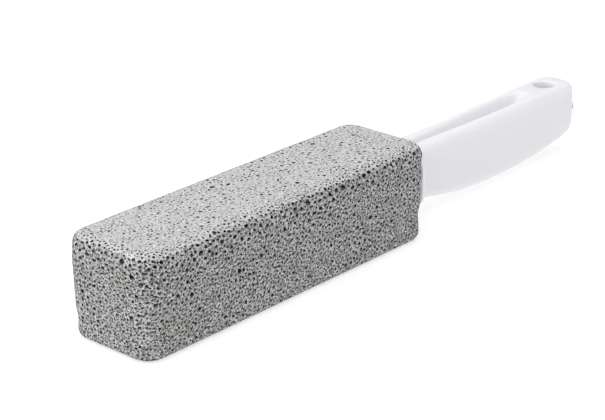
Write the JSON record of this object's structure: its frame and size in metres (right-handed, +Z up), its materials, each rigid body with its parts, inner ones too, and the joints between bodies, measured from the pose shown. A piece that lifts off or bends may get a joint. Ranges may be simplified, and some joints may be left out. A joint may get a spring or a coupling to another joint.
{
  "type": "pumice stone",
  "caption": "Porous grey scouring bar glued to a white plastic handle with a troughed back and a hole to hang it by.",
  "frame": {"origin": "middle of the underside of the whole object's bounding box, on the surface that the stone rests on", "axes": "+X along the bar from its scouring end to the handle's tip, +Z up out of the stone's top"},
  "size_m": [0.2322, 0.036, 0.034],
  "materials": {
    "stone": "matte, open-celled, cut",
    "handle": "white, satin moulded"
  },
  "bodies": {
    "root": {"stone": "stone", "handle": "handle"}
  },
  "joints": []
}
